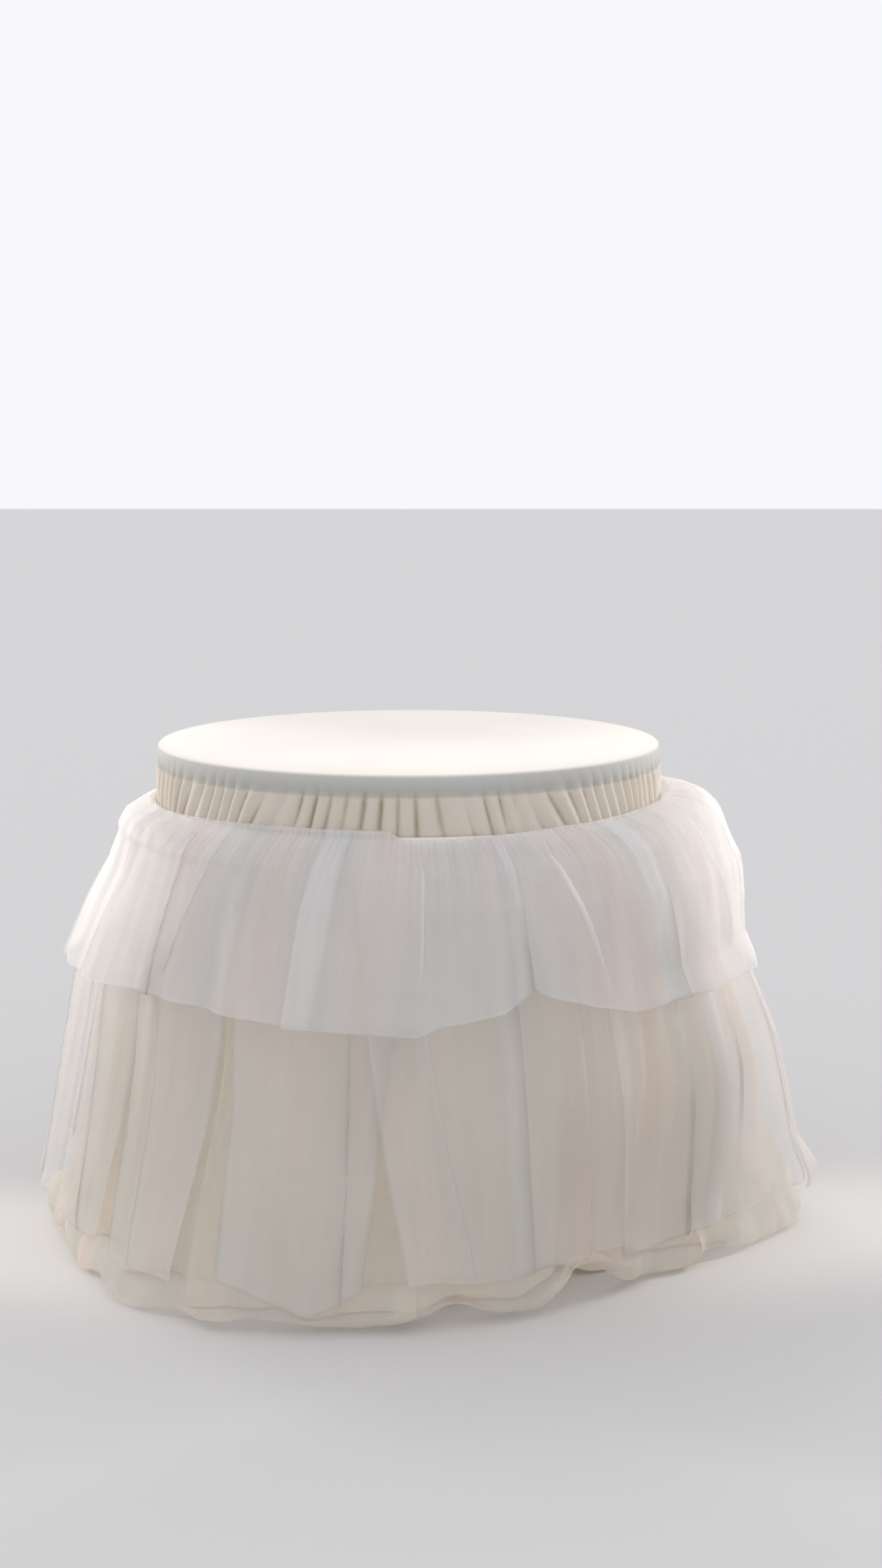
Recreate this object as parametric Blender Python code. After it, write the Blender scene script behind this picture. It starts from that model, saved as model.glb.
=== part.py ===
"""A round pedestal table dressed with a floor-length round cloth and a two-tier tulle skirt.

Metres, +Z up, the front of the table towards -Y. The origin is on the floor under the
middle of the table top. The table carries the cloth, and the cloth carries the skirt.
"""

import math

import bpy

# --- driving sizes -------------------------------------------------------------------
FIT = 0.0003                # gap kept between two pieces that touch
CLEARANCE = 0.0005          # radial room of a rod, stem or screw in its hole

TABLE_HEIGHT = 0.752
TOP_RADIUS = 0.381
TOP_THICKNESS = 0.025
EDGE_BAND = 0.002

PLATE_SIDE = 0.24
PLATE_THICKNESS = 0.005
BOSS_HEIGHT = 0.020
SCREW_INSET = 0.025         # screw centre to the plate's edge
SCREW_RADIUS = 0.003
SCREW_BITE = 0.015          # length of thread in the wood
SCREW_HEAD_RADIUS = 0.006
SCREW_HEAD_HEIGHT = 0.004

COLUMN_RADIUS = 0.038
COLUMN_WALL = 0.002
ROD_RADIUS = 0.006
NUT_RADIUS = 0.011
NUT_HEIGHT = 0.009
WASHER_RADIUS = 0.015
WASHER_THICKNESS = 0.002
ROD_BEYOND_NUT = 0.003

HUB_WALL = 0.017            # hub's radius beyond the column
HUB_HEIGHT = 0.045
SPIGOT_HEIGHT = 0.025
ARM_REACH = 0.255           # table axis to a glide's axis
ARM_ROOT = (0.050, 0.032)   # width and height where the arm leaves the hub
ARM_TIP = (0.036, 0.018)
PAD_RADIUS = 0.026
GLIDE_RADIUS = 0.019
GLIDE_HEIGHT = 0.008
STEM_RADIUS = 0.004
STEM_LENGTH = 0.013

CLOTH = 0.002               # stand-in thickness of a layer of fabric
CLOTH_FLARE = 0.120         # how far the hem hangs out past the table edge
HEM_CLEARANCE = 0.002       # hems hang this far off the floor
WAIST_DROP = 0.084          # from the table's upper face down to the top of the waistband
BAND_WIDTH = 0.022
CASING = 0.0008
ELASTIC = 0.0012

LOWER_HEM = 0.080           # height of the lower tier's hem above the floor
UPPER_LENGTH = 0.238        # drop of the upper tier below the waistband's top
SEAM_GAP = 0.0006           # between two neighbouring panels of one layer
FOOT_HEIGHT = 0.028         # where the under layer turns outwards along the floor
FOOT_SPREAD = 0.046

WAIST_HEIGHT = TABLE_HEIGHT - WAIST_DROP

# Each tulle layer hangs outside the one before it. "puff" is how far it springs out under
# the waistband, "spring" is the drop in which it does so, and "spread" is its extra slope.
LAYERS = (
    {"name": "under_tulle", "count": 6, "start": 30.0, "hem": HEM_CLEARANCE,
     "puff": 0.040, "spring": 0.040, "spread": 0.020, "rings": 6},
    {"name": "lower_tulle", "count": 16, "start": 0.0, "hem": LOWER_HEM,
     "puff": 0.031, "spring": 0.040, "spread": 0.018, "rings": 6},
    {"name": "upper_tulle", "count": 8, "start": 22.5, "hem": WAIST_HEIGHT - UPPER_LENGTH,
     "puff": 0.016, "spring": 0.030, "spread": 0.0, "rings": 5},
)

SEGMENTS = 48               # every round layer has its corners on the same 7.5 degree steps
DROP_PANELS = 6
DROP_START = 30.0
ROUND = 32                  # sides of a rod, a hole or a glide

# --- sizes that follow ----------------------------------------------------------------
STEP = 360.0 / SEGMENTS
PLATE_TOP = TABLE_HEIGHT - TOP_THICKNESS - FIT
PLATE_UNDERSIDE = PLATE_TOP - PLATE_THICKNESS
ARM_UNDERSIDE = GLIDE_HEIGHT + FIT
HUB_TOP = ARM_UNDERSIDE + HUB_HEIGHT
BORE_RADIUS = COLUMN_RADIUS - COLUMN_WALL - FIT
RECESS_TOP = ARM_UNDERSIDE + WASHER_THICKNESS + NUT_HEIGHT + ROD_BEYOND_NUT + 3 * FIT
WASHER_TOP = RECESS_TOP - FIT
NUT_TOP = WASHER_TOP - WASHER_THICKNESS - FIT
ROD_BOTTOM = NUT_TOP - NUT_HEIGHT - ROD_BEYOND_NUT
CLOTH_INSIDE = TOP_RADIUS + FIT
CLOTH_OUTSIDE = CLOTH_INSIDE + CLOTH
BAND_INSIDE = CLOTH_OUTSIDE + FIT
BAND_OUTSIDE = BAND_INSIDE + 2 * CASING + ELASTIC + 2 * FIT
BAND_LOW = WAIST_HEIGHT - BAND_WIDTH
ARM_ANGLES = [45.0, 135.0, 225.0, 315.0]


# --- helpers --------------------------------------------------------------------------
def clear_scene():
    for obj in list(bpy.data.objects):
        bpy.data.objects.remove(obj, do_unlink=True)


def material(name, colour, roughness, metallic=0.0):
    """One Principled material, made once for each name."""
    made = bpy.data.materials.get(name)
    if made is None:
        made = bpy.data.materials.new(name)
        made.use_nodes = True
        shader = made.node_tree.nodes["Principled BSDF"]
        shader.inputs["Base Color"].default_value = (*colour, 1.0)
        shader.inputs["Roughness"].default_value = roughness
        shader.inputs["Metallic"].default_value = metallic
    return made


def add_object(name, points, faces, surface, place=(0.0, 0.0, 0.0)):
    mesh = bpy.data.meshes.new(name)
    mesh.from_pydata(points, [], faces)
    mesh.update()
    mesh.materials.append(surface)
    mesh.shade_smooth()
    mesh.set_sharp_from_angle(angle=math.radians(30))
    obj = bpy.data.objects.new(name, mesh)
    obj.location = place
    bpy.context.scene.collection.objects.link(obj)
    return obj


def polar(radius, degrees, height):
    turn = math.radians(degrees)
    return (radius * math.cos(turn), radius * math.sin(turn), height)


def loft(name, loops, surface, place=(0.0, 0.0, 0.0), wrap=False):
    """A closed body through loops of equal length: capped at both ends, or wrapped round.

    Each loop runs anticlockwise as seen from where the next loop lies.
    """
    size = len(loops[0])
    points = [point for loop in loops for point in loop]
    spans = len(loops) if wrap else len(loops) - 1
    faces = []
    for i in range(spans):
        near, far = i * size, (i + 1) % len(loops) * size
        for j in range(size):
            k = (j + 1) % size
            faces.append((near + j, near + k, far + k, far + j))
    if not wrap:
        last = (len(loops) - 1) * size
        faces.append(tuple(reversed(range(size))))
        faces.append(tuple(last + j for j in range(size)))
    return add_object(name, points, faces, surface, place)


def disc(name, levels, surface, place=(0.0, 0.0, 0.0), sides=ROUND):
    """A solid turned about its own Z axis, through (radius, height) levels from the bottom up."""
    angles = [i * 360.0 / sides for i in range(sides)]
    loops = [[polar(radius, turn, height) for turn in angles] for radius, height in levels]
    return loft(name, loops, surface, place)


def ring(name, section, surface, place=(0.0, 0.0, 0.0), sides=SEGMENTS):
    """A closed (radius, height) section, anticlockwise seen from -Y, turned right round Z."""
    loops = [[polar(r, i * 360.0 / sides, z) for r, z in reversed(section)] for i in range(sides)]
    return loft(name, loops, surface, place, wrap=True)


def cut(body, tool, operation="DIFFERENCE"):
    """Joins or cuts one solid with another, and keeps the tool only as a guide."""
    tool.hide_render = True
    tool.display_type = "WIRE"
    modifier = body.modifiers.new(tool.name, "BOOLEAN")
    modifier.operation = operation
    modifier.solver = "EXACT"
    modifier.object = tool


# --- finishes -------------------------------------------------------------------------
PLYWOOD = material("birch plywood", (0.55, 0.40, 0.24), 0.55)
VINYL = material("vinyl edge band", (0.03, 0.03, 0.03), 0.45)
CAST_IRON = material("black painted cast iron", (0.02, 0.02, 0.02), 0.60)
COATED_STEEL = material("black powder coated steel", (0.02, 0.02, 0.02), 0.50, 0.3)
ZINC = material("zinc plated steel", (0.55, 0.55, 0.53), 0.35, 1.0)
NYLON = material("grey nylon", (0.12, 0.12, 0.12), 0.50)
POLYESTER = material("cream polyester", (0.80, 0.75, 0.68), 0.80)
RIBBON = material("white waistband casing", (0.85, 0.84, 0.82), 0.75)
RUBBER = material("woven elastic", (0.80, 0.80, 0.78), 0.85)
TULLE = material("white tulle", (0.86, 0.84, 0.82), 0.85)


# --- the table ------------------------------------------------------------------------
def screw_places():
    reach = PLATE_SIDE / 2 - SCREW_INSET
    return [(reach, reach), (-reach, reach), (-reach, -reach), (reach, -reach)]


def table_top():
    radius = TOP_RADIUS - EDGE_BAND - FIT
    low = TABLE_HEIGHT - TOP_THICKNESS
    top = disc("table_top", [(radius, low), (radius, TABLE_HEIGHT)], PLYWOOD, sides=SEGMENTS)
    pilot = SCREW_RADIUS + CLEARANCE
    for i, (x, y) in enumerate(screw_places()):
        deep = SCREW_BITE + CLEARANCE
        hole = [(pilot, low - CLEARANCE), (pilot, low + deep)]
        cut(top, disc(f"pilot_hole_{i + 1}", hole, PLYWOOD, (x, y, 0.0)))
    ring("edge_band", [(radius + FIT, low), (TOP_RADIUS, low), (TOP_RADIUS, TABLE_HEIGHT),
                       (radius + FIT, TABLE_HEIGHT)], VINYL)


def top_plate():
    half = PLATE_SIDE / 2
    corners = [(half, half), (-half, half), (-half, -half), (half, -half)]
    sheet = [[(x, y, z) for x, y in corners] for z in (PLATE_UNDERSIDE, PLATE_TOP)]
    plate = loft("top_plate", sheet, COATED_STEEL)
    low = PLATE_UNDERSIDE - BOSS_HEIGHT
    boss = [(BORE_RADIUS, low), (BORE_RADIUS, PLATE_TOP - PLATE_THICKNESS / 2)]
    cut(plate, disc("plate_boss", boss, COATED_STEEL), "UNION")
    bore = [(ROD_RADIUS + CLEARANCE, low - CLEARANCE), (ROD_RADIUS + CLEARANCE, PLATE_TOP + CLEARANCE)]
    cut(plate, disc("plate_bore", bore, COATED_STEEL))
    hole = [(SCREW_RADIUS + CLEARANCE, PLATE_UNDERSIDE - CLEARANCE),
            (SCREW_RADIUS + CLEARANCE, PLATE_TOP + CLEARANCE)]
    for i, (x, y) in enumerate(screw_places()):
        cut(plate, disc(f"plate_hole_{i + 1}", hole, COATED_STEEL, (x, y, 0.0)))


def plate_screws():
    seat = PLATE_UNDERSIDE - FIT
    levels = [(SCREW_HEAD_RADIUS * 0.7, seat - SCREW_HEAD_HEIGHT),
              (SCREW_HEAD_RADIUS, seat - SCREW_HEAD_HEIGHT / 2),
              (SCREW_HEAD_RADIUS, seat), (SCREW_RADIUS, seat),
              (SCREW_RADIUS, TABLE_HEIGHT - TOP_THICKNESS + SCREW_BITE)]
    for i, (x, y) in enumerate(screw_places()):
        disc(f"plate_screw_{i + 1}", levels, ZINC, (x, y, 0.0))


def column():
    low, high = HUB_TOP + FIT, PLATE_UNDERSIDE - FIT
    inside = COLUMN_RADIUS - COLUMN_WALL
    ring("column", [(inside, low), (COLUMN_RADIUS, low), (COLUMN_RADIUS, high), (inside, high)],
         COATED_STEEL, sides=ROUND)


def tie_rod_set():
    disc("tie_rod", [(ROD_RADIUS, ROD_BOTTOM), (ROD_RADIUS, PLATE_TOP - FIT)], ZINC)
    hole = ROD_RADIUS + CLEARANCE
    low = NUT_TOP - NUT_HEIGHT
    nut = disc("tie_nut", [(NUT_RADIUS, low), (NUT_RADIUS, NUT_TOP)], ZINC, sides=6)
    cut(nut, disc("nut_bore", [(hole, low - CLEARANCE), (hole, NUT_TOP + CLEARANCE)], ZINC))
    low = WASHER_TOP - WASHER_THICKNESS
    ring("tie_washer", [(hole, low), (WASHER_RADIUS, low), (WASHER_RADIUS, WASHER_TOP),
                        (hole, WASHER_TOP)], ZINC, sides=ROUND)


def arm(name, degrees):
    """One tapering arm of the cross, lofted from inside the hub out to its glide."""
    loops = []
    for distance, (width, height) in ((COLUMN_RADIUS / 2, ARM_ROOT), (ARM_REACH, ARM_TIP)):
        along = polar(distance, degrees, 0.0)
        across = polar(width / 2, degrees + 90.0, 0.0)
        left = (along[0] + across[0], along[1] + across[1])
        right = (along[0] - across[0], along[1] - across[1])
        high = ARM_UNDERSIDE + height
        loops.append([(*left, ARM_UNDERSIDE), (*left, high), (*right, high), (*right, ARM_UNDERSIDE)])
    return loft(name, [list(reversed(loop)) for loop in loops], CAST_IRON)


def base_cross():
    hub_radius = COLUMN_RADIUS + HUB_WALL
    cross = disc("base_cross", [
        (hub_radius, ARM_UNDERSIDE), (hub_radius, ARM_UNDERSIDE + ARM_ROOT[1]),
        (COLUMN_RADIUS, HUB_TOP), (BORE_RADIUS, HUB_TOP), (BORE_RADIUS, HUB_TOP + SPIGOT_HEIGHT),
    ], CAST_IRON, sides=SEGMENTS)
    pad = [(PAD_RADIUS, ARM_UNDERSIDE), (PAD_RADIUS, ARM_UNDERSIDE + ARM_TIP[1] - CLEARANCE)]
    stem_hole = STEM_RADIUS + CLEARANCE
    socket = [(stem_hole, ARM_UNDERSIDE - CLEARANCE), (stem_hole, GLIDE_HEIGHT + STEM_LENGTH + CLEARANCE)]
    for i, turn in enumerate(ARM_ANGLES):
        place = polar(ARM_REACH, turn, 0.0)
        cut(cross, arm(f"arm_{i + 1}", turn), "UNION")
        cut(cross, disc(f"pad_{i + 1}", pad, CAST_IRON, place), "UNION")
        cut(cross, disc(f"glide_socket_{i + 1}", socket, CAST_IRON, place))
    recess = [(WASHER_RADIUS + CLEARANCE, ARM_UNDERSIDE - CLEARANCE), (WASHER_RADIUS + CLEARANCE, RECESS_TOP)]
    cut(cross, disc("nut_recess", recess, CAST_IRON))
    bore = [(ROD_RADIUS + CLEARANCE, ARM_UNDERSIDE), (ROD_RADIUS + CLEARANCE, HUB_TOP + 2 * SPIGOT_HEIGHT)]
    cut(cross, disc("hub_bore", bore, CAST_IRON))


def glides():
    """Each glide is modelled about its own stem, and turns on it."""
    chamfer = GLIDE_HEIGHT / 4
    levels = [(GLIDE_RADIUS - chamfer, 0.0), (GLIDE_RADIUS, chamfer), (GLIDE_RADIUS, GLIDE_HEIGHT),
              (STEM_RADIUS, GLIDE_HEIGHT), (STEM_RADIUS, GLIDE_HEIGHT + STEM_LENGTH)]
    for i, turn in enumerate(ARM_ANGLES):
        disc(f"glide_{i + 1}", levels, NYLON, polar(ARM_REACH, turn, 0.0))


# --- the cloth and the skirt ----------------------------------------------------------
def shell_panel(name, inside, thickness, start, end, surface):
    """A curved panel between two angles. "inside" lists (radius, height) from the top down.

    Its inner corners stand on the common steps, so that layers and neighbours run parallel.
    """
    trim = math.degrees(SEAM_GAP / 2 / inside[0][0])
    count = round((end - start) / STEP)
    turns = [start + i * STEP for i in range(count + 1)]
    turns[0] += trim
    turns[-1] -= trim
    outside = [(radius + thickness, height) for radius, height in inside]
    section = outside + list(reversed(inside))
    loft(name, [[polar(r, turn, z) for r, z in section] for turn in turns], surface)


def cloth_outside(height):
    """Outer radius of the round cloth: straight down to the waistband, then flaring to its hem."""
    fall = max(BAND_LOW - height, 0.0) / (BAND_LOW - HEM_CLEARANCE)
    return CLOTH_OUTSIDE + CLOTH_FLARE * fall


def round_cloth():
    low = TABLE_HEIGHT + FIT
    disc("cloth_top", [(CLOTH_OUTSIDE, low), (CLOTH_OUTSIDE, low + CLOTH / 2),
                       (CLOTH_OUTSIDE - CLOTH / 2, low + CLOTH)], POLYESTER, sides=SEGMENTS)
    heights = (TABLE_HEIGHT, BAND_LOW, (BAND_LOW + HEM_CLEARANCE) / 2, HEM_CLEARANCE)
    inside = [(cloth_outside(height) - CLOTH, height) for height in heights]
    width = 360.0 / DROP_PANELS
    for i in range(DROP_PANELS):
        start = DROP_START + i * width
        shell_panel(f"cloth_drop_{i + 1}", inside, CLOTH, start, start + width, POLYESTER)


def waistband():
    """A casing folded over a ring of elastic, open along its lower edge."""
    slot = BAND_INSIDE + CASING
    slot_end = BAND_OUTSIDE - CASING
    ring("waistband_casing", [
        (BAND_INSIDE, BAND_LOW), (slot, BAND_LOW), (slot, WAIST_HEIGHT - CASING),
        (slot_end, WAIST_HEIGHT - CASING), (slot_end, BAND_LOW), (BAND_OUTSIDE, BAND_LOW),
        (BAND_OUTSIDE, WAIST_HEIGHT), (BAND_INSIDE, WAIST_HEIGHT)], RIBBON)
    low, high = BAND_LOW + CASING, WAIST_HEIGHT - CASING - FIT
    ring("waistband_elastic", [(slot + FIT, low), (slot_end - FIT, low), (slot_end - FIT, high),
                               (slot + FIT, high)], RUBBER)


def layer_inside(index, height):
    """Inner radius of a tulle layer: outside the band at the top, then clear of what it covers."""
    fall = WAIST_HEIGHT - height
    radius = cloth_outside(height) + (BAND_OUTSIDE - CLOTH_OUTSIDE) + FIT
    for layer in LAYERS[:index + 1]:
        radius += layer["puff"] * (1.0 - math.exp(-fall / layer["spring"])) + layer["spread"] * fall
    return radius + index * (CLOTH + FIT)


def tulle_layer(index):
    layer = LAYERS[index]
    reaches_floor = layer["hem"] <= FOOT_HEIGHT
    hem = FOOT_HEIGHT if reaches_floor else layer["hem"]
    drop = WAIST_HEIGHT - hem
    heights = [WAIST_HEIGHT - drop * (i / layer["rings"]) ** 2 for i in range(layer["rings"] + 1)]
    inside = [(layer_inside(index, height), height) for height in heights]
    if reaches_floor:
        radius = inside[-1][0]
        inside.append((radius + 0.4 * FOOT_SPREAD, (FOOT_HEIGHT + layer["hem"]) / 2))
        inside.append((radius + FOOT_SPREAD, layer["hem"]))
    width = 360.0 / layer["count"]
    for i in range(layer["count"]):
        start = layer["start"] + i * width
        shell_panel(f"{layer['name']}_{i + 1:02d}", inside, CLOTH, start, start + width, TULLE)


clear_scene()
table_top()
top_plate()
plate_screws()
column()
tie_rod_set()
base_cross()
glides()
round_cloth()
waistband()
for number in range(len(LAYERS)):
    tulle_layer(number)
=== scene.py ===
# %% [markdown]
# # A round table in a cream cloth and a two-tier tulle skirt
#
# The solid model of the table is already made: a plywood top on a steel column and a cast
# cross base. This lesson dresses it. The fabric is what the eye sees first, so nearly all the
# work goes into three kinds of cloth: a 90 inch round polyester cloth that falls to the
# floor, a gathered waistband, and soft tulle in an upper tier, a lower tier of strips, and
# a longer layer that bunches on the ground.

# %% Load the frame
import math

import bpy
import numpy as np
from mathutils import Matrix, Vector


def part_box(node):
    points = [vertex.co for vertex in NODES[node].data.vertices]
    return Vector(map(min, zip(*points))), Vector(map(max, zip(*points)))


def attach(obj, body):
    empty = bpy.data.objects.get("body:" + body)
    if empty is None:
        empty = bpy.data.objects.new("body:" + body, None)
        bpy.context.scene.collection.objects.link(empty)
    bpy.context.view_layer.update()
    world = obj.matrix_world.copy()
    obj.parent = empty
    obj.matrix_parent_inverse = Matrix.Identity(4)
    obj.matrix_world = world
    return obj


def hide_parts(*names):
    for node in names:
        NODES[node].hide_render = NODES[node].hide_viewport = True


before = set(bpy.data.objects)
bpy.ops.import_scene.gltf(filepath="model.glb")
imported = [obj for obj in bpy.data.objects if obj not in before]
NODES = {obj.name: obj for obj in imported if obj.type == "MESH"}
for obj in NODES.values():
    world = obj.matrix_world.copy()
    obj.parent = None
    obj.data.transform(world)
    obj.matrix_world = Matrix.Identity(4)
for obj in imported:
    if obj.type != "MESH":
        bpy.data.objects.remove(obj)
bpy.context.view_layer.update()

# %% [markdown]
# ## Sizes
#
# Every height and radius comes from the solid model, so that the fabric sits on the table
# with no fitting. The profile of each layer is read from the corners of its solids: their
# radius at each height.

# %% Read the sizes
TABLE_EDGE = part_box("edge_band")[1].x
TOP_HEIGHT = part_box("cloth_top")[1].z
TABLE_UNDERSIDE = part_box("table_top")[0].z
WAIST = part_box("waistband_casing")[1].z
WAIST_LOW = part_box("waistband_casing")[0].z
BAND_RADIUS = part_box("waistband_casing")[1].x


def profile(prefix):
    """Middle radius of a layer of solids at each of its heights, from the floor up."""
    rings = {}
    for name, node in NODES.items():
        if name.startswith(prefix):
            for corner in node.data.vertices:
                radius = math.hypot(corner.co.x, corner.co.y)
                rings.setdefault(round(corner.co.z, 4), []).append(radius)
    heights = sorted(rings)
    middles = [(min(rings[z]) + max(rings[z])) / 2 for z in heights]
    return np.array(heights), np.array(middles)


CLOTH_PROFILE = profile("cloth_drop")
UNDER_PROFILE = profile("under_tulle")
LOWER_PROFILE = profile("lower_tulle")
UPPER_PROFILE = profile("upper_tulle")
LOWER_HEM = LOWER_PROFILE[0][0]
print(f"waist at {WAIST:.3f} m, lower hem {LOWER_HEM:.3f} m, upper hem {UPPER_PROFILE[0][0]:.3f} m")


# %% [markdown]
# ## Helpers for materials
#
# A material here is a handful of nodes, so one short function adds a node, sets it and links
# it. Colours are written as sRGB hex, the way a paint chart gives them, and turned to the
# linear values that the renderer works in.

# %% Colour and node helpers
def linear(code):
    """An sRGB hex colour as linear red, green, blue and alpha."""
    parts = [int(code[i:i + 2], 16) / 255 for i in (1, 3, 5)]
    return [c / 12.92 if c <= 0.04045 else ((c + 0.055) / 1.055) ** 2.4 for c in parts] + [1.0]


def add_node(tree, kind, settings=None, **sockets):
    """Adds a node. settings are its properties; sockets are values or other nodes' outputs."""
    made = tree.nodes.new(kind)
    for key, value in (settings or {}).items():
        setattr(made, key, value)
    for key, value in sockets.items():
        name = key.replace("_", " ")
        found = made.inputs[int(key[1:])] if key[1:].isdigit() else made.inputs[name]
        if isinstance(value, bpy.types.NodeSocket):
            tree.links.new(value, found)
        else:
            found.default_value = value
    return made


def blank_material(name):
    made = bpy.data.materials.new(name)
    made.use_nodes = True
    made.node_tree.nodes.clear()
    return made, made.node_tree


def ramp(tree, factor, stops):
    """A colour ramp through (position, linear colour) stops."""
    made = add_node(tree, "ShaderNodeValToRGB", None, Fac=factor)
    band = made.color_ramp
    band.elements[0].position, band.elements[0].color = stops[0]
    band.elements[1].position, band.elements[1].color = stops[-1]
    for position, colour in stops[1:-1]:
        band.elements.new(position).color = colour
    return made.outputs["Color"]


def flat_coordinates(tree, per_metre_across, per_metre_down):
    """The cloth's own flat coordinates in metres, scaled to so many repeats a metre."""
    uv = add_node(tree, "ShaderNodeUVMap", {"uv_map": "flat"})
    size = (per_metre_across, per_metre_down, 1.0)
    scaled = add_node(tree, "ShaderNodeMapping", None, Vector=uv.outputs["UV"], Scale=size)
    return scaled.outputs["Vector"]


def solid_coordinates(tree, per_metre):
    """The object's own coordinates, for pieces cut from the solid model."""
    place = add_node(tree, "ShaderNodeTexCoord")
    size = (per_metre, per_metre, per_metre)
    scaled = add_node(tree, "ShaderNodeMapping", None, Vector=place.outputs["Object"], Scale=size)
    return scaled.outputs["Vector"]


# %% [markdown]
# ## The cream cloth
#
# It is plain woven polyester, about 200 g/m2, which is matt with a faint sheen and lets some
# sun through. Real threads are 0.3 mm apart, far too fine to show from across a room, so the
# weave is drawn 4 times coarser. Slow colour noise stands for the slightly uneven dye.

# %% Polyester material
THREAD_MM = 1.2             # 4 times the real 0.3 mm
WAVE_SCALE = 0.3            # at this scale a wave texture repeats about once a unit
CREAM = "#f9f4ec"
CREAM_SHADE = "#f3ede2"
CREAM_GLOW = "#f2e8d8"      # light that comes through the cloth is warmer
GATHER_PAINTED_SHADE = "#b3a891"     # painted shade down in a gather
EDGE_STRIPE_PAINTED_SHADE = "#dbe0e3"    # painted shade: a greyer stripe on the cloth where it turns down over the table's edge


def woven_height(tree, threads_per_metre):
    """Warp crossed with weft: two sine waves that take turns being on top."""
    where = flat_coordinates(tree, threads_per_metre, threads_per_metre)
    warp = add_node(tree, "ShaderNodeTexWave", {"bands_direction": "X"}, Vector=where, Scale=WAVE_SCALE)
    weft = add_node(tree, "ShaderNodeTexWave", {"bands_direction": "Y"}, Vector=where, Scale=WAVE_SCALE)
    return add_node(tree, "ShaderNodeMath", {"operation": "MAXIMUM"},
                    _0=warp.outputs["Fac"], _1=weft.outputs["Fac"]).outputs["Value"]


def polyester(name, light, dark, see_through):
    """see_through is the share of the light that goes on through the cloth."""
    made, tree = blank_material(name)
    uneven = add_node(tree, "ShaderNodeTexNoise", None, Vector=flat_coordinates(tree, 3.0, 3.0),
                      Scale=1.0, Detail=3.0, Roughness=0.6)
    # Painted shade: where the pinch attribute is high, down in the gathers, the colour is darkened.
    pinch = add_node(tree, "ShaderNodeAttribute", {"attribute_name": "pinch"})
    shade = add_node(tree, "ShaderNodeMath", {"operation": "MULTIPLY_ADD"},
                     _0=pinch.outputs["Fac"], _1=-0.5, _2=uneven.outputs["Fac"])
    plain = ramp(tree, shade.outputs["Value"],
                 [(0.0, linear(GATHER_PAINTED_SHADE)), (0.3, linear(dark)), (0.7, linear(light))])
    flat = flat_coordinates(tree, 1.0, 1.0)
    from_middle = add_node(tree, "ShaderNodeVectorMath", {"operation": "LENGTH"}, _0=flat)
    # Painted shade: a greyer stripe on the cloth where it turns down over the table's edge.
    over_edge = add_node(tree, "ShaderNodeMapRange", None, Value=from_middle.outputs["Value"],
                         From_Min=TABLE_EDGE - 0.005, From_Max=TABLE_EDGE + 0.055)
    white, grey = linear("#ffffff"), linear(EDGE_STRIPE_PAINTED_SHADE)
    stripe = ramp(tree, over_edge.outputs["Result"],
                  [(0.0, white), (0.08, white), (0.13, grey), (0.58, grey), (0.63, white), (1.0, white)])
    colour = add_node(tree, "ShaderNodeMix", {"data_type": "RGBA", "blend_type": "MULTIPLY"},
                      _0=1.0, _6=plain, _7=stripe).outputs[2]
    bump = add_node(tree, "ShaderNodeBump", None, Height=woven_height(tree, 1000 / THREAD_MM),
                    Strength=0.1, Distance=0.0002)
    cloth = add_node(tree, "ShaderNodeBsdfPrincipled", None, Normal=bump.outputs["Normal"],
                     Roughness=0.85, IOR=1.5)
    tree.links.new(colour, cloth.inputs["Base Color"])
    cloth.inputs["Sheen Weight"].default_value = 0.2
    cloth.inputs["Sheen Roughness"].default_value = 0.5
    glow = add_node(tree, "ShaderNodeBsdfTranslucent", None, Color=linear(CREAM_GLOW))
    # Where the cloth lies on the wood, next to no light can come through it.
    hanging = add_node(tree, "ShaderNodeMapRange", None, Value=from_middle.outputs["Value"],
                       From_Min=TABLE_EDGE - 0.01, From_Max=TABLE_EDGE + 0.03,
                       To_Min=0.04, To_Max=see_through)
    # Where the cloth lies double in a gather, less light comes through it.
    single = add_node(tree, "ShaderNodeMath", {"operation": "MULTIPLY_ADD"},
                      _0=pinch.outputs["Fac"], _1=-0.5, _2=1.0)
    through = add_node(tree, "ShaderNodeMath", {"operation": "MULTIPLY"},
                       _0=hanging.outputs["Result"], _1=single.outputs["Value"])
    mixed = add_node(tree, "ShaderNodeMixShader", None, Fac=through.outputs["Value"],
                     _1=cloth.outputs["BSDF"], _2=glow.outputs["BSDF"])
    add_node(tree, "ShaderNodeOutputMaterial", None, Surface=mixed.outputs["Shader"])
    return made


CLOTH = polyester("cream polyester", CREAM, CREAM_SHADE, 0.4)
CASING = polyester("white polyester casing", "#f2ede5", "#e8e2d8", 0.2)

# %% [markdown]
# ## Tulle
#
# Tulle is a net of fine nylon threads, mostly holes. One layer hides a third to a half of
# what is behind it, and light that reaches it from behind makes it glow, so the shader mixes
# a diffuse and a translucent white, and then lets part of each ray straight through. The
# holes are drawn at their real 1.5 mm. The cover also varies in long soft streaks down the
# drop, because stretched net bunches and opens. It is denser along the cut edges, where the
# net curls over, and where the net is gathered.

# %% Tulle material
HOLE_MM = 1.5
EDGE_GREY = "#bcbcba"       # the curled edge shades itself
PAINTED_COOL_BOUNCE = "#f4f8f8"            # the net is painted with reflected light, cooler here and warmer there, and hardly any in between
PAINTED_WARM_BOUNCE = "#fff8f6"            # cooler here and warmer there,
NEUTRAL = "#fdfdfd"         # and hardly any in between


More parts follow.
